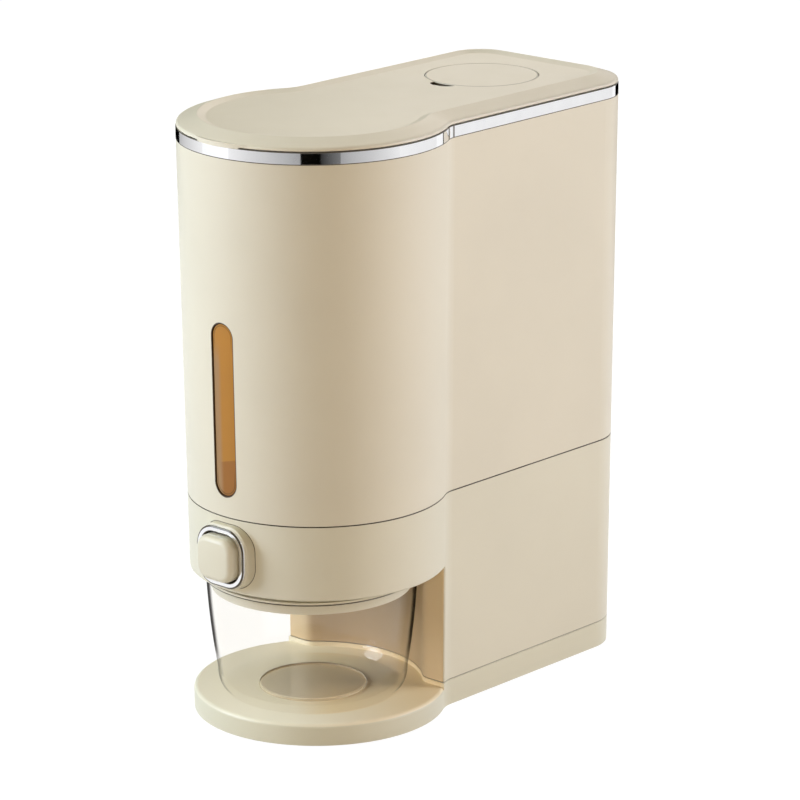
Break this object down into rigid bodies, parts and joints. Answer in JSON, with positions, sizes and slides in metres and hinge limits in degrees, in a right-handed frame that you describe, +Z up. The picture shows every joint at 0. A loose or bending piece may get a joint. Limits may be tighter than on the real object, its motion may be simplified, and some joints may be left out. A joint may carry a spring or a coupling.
{
  "type": "food storage container",
  "caption": "Tall keyhole-plan grain dispenser with hinged lid, push button, window and clear measuring cup in a front bay.",
  "frame": {"origin": "underside of the middle foot, on the axis of the round front, at table level", "axes": "+Z up, -Y towards the round front with the button and the cup, +Y towards the hinge, +X across"},
  "size_m": [0.16, 0.3151, 0.3641],
  "materials": {
    "shell_cream": "satin moulded cream plastic",
    "casing_cream": "satin moulded cream plastic, a little greener",
    "inner_white": "plain white food-grade plastic",
    "amber_lens": "smooth amber clear plastic",
    "clear_plastic": "smooth clear plastic",
    "chrome": "bright plated plastic",
    "steel": "plain steel",
    "pale_rubber": "soft white silicone",
    "dark_rubber": "soft dark rubber",
    "sachet_cloth": "white non-woven cloth"
  },
  "bodies": {
    "body": {"base_tray": "casing_cream", "bottom_plate": "inner_white", "rubber_feet": "dark_rubber", "plate_screws": "steel", "casing_screws": "steel", "lower_casing": "casing_cream", "outlet_cover": "inner_white", "upper_shell": "shell_cream", "window_lens": "amber_lens", "window_gasket": "pale_rubber", "chrome_trim": "chrome", "hopper": "inner_white", "throat_seal": "pale_rubber", "gate_pins": "steel", "button_bezel": "chrome", "button_guide": "inner_white", "return_spring": "steel", "hinge_pin": "steel"},
    "lid": {"lid_cover": "shell_cream", "lid_liner": "inner_white", "lid_seal": "pale_rubber", "lid_screws": "steel", "desiccant_basket": "inner_white", "desiccant_sachet": "sachet_cloth"},
    "desiccant_lid": {"desiccant_cap": "shell_cream"},
    "button": {"button_cap": "casing_cream", "push_yoke": "inner_white"},
    "gate": {"gate": "inner_white"},
    "cup": {"measuring_cup": "clear_plastic", "cup_collar": "casing_cream"}
  },
  "joints": [
    {"name": "lid_hinge", "type": "hinge", "parent": "body", "child": "lid", "pos_m": [0, 0.2213, 0.3535], "axis": [-1, 0, 0], "range_deg": [0, 105]},
    {"name": "desiccant_cap_lift", "type": "slide", "parent": "lid", "child": "desiccant_lid", "axis": [0, 0, 1], "range_m": [0, 0.03]},
    {"name": "button_slide", "type": "slide", "parent": "body", "child": "button", "axis": [0, 1, 0], "range_m": [0, 0.007], "stiffness_N_per_m": 600, "springref_m": -0.003, "deforming": ["return_spring"]},
    {"name": "gate_hinge", "type": "hinge", "parent": "body", "child": "gate", "pos_m": [0, 0, 0.124], "axis": [1, 0, 0], "range_deg": [0, 36.5]},
    {"name": "cup_slide", "type": "slide", "parent": "body", "child": "cup", "axis": [0, -1, 0], "range_m": [0, 0.15]}
  ],
  "couplings": [
    {"joint": "gate_hinge", "follows": "button_slide", "rad_per_m": 89.76}
  ]
}
